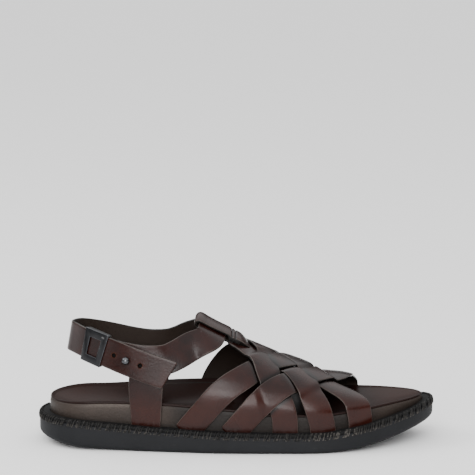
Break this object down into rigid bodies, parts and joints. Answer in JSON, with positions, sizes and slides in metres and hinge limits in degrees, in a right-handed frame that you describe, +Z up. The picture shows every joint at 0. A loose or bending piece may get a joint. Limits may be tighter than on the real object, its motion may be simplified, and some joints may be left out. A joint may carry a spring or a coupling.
{
  "type": "huarache sandal",
  "caption": "Woven leather sandal for the right foot with a welted rubber sole, a moulded footbed and a studded ankle strap.",
  "frame": {"origin": "on the floor under the middle of the sole's box", "axes": "+X to the toe, +Y to the inner side of the foot, +Z up"},
  "size_m": [0.295, 0.1059, 0.0954],
  "materials": {
    "outsole": "matte black moulded rubber",
    "welt": "black welt strip with whip stitching",
    "midsole": "grey-brown pebbled leather wrap",
    "insole": "dark reddish brown smooth leather",
    "upper": "burnished dark reddish brown leather",
    "ankle_strap": "burnished dark reddish brown leather",
    "stud": "dark polished metal",
    "keeper": "black coated metal with bright edges"
  },
  "bodies": {
    "root": {"outsole": "outsole", "welt": "welt", "midsole": "midsole", "insole": "insole", "upper": "upper", "ankle_strap": "ankle_strap", "stud": "stud", "keeper": "keeper"}
  },
  "joints": []
}
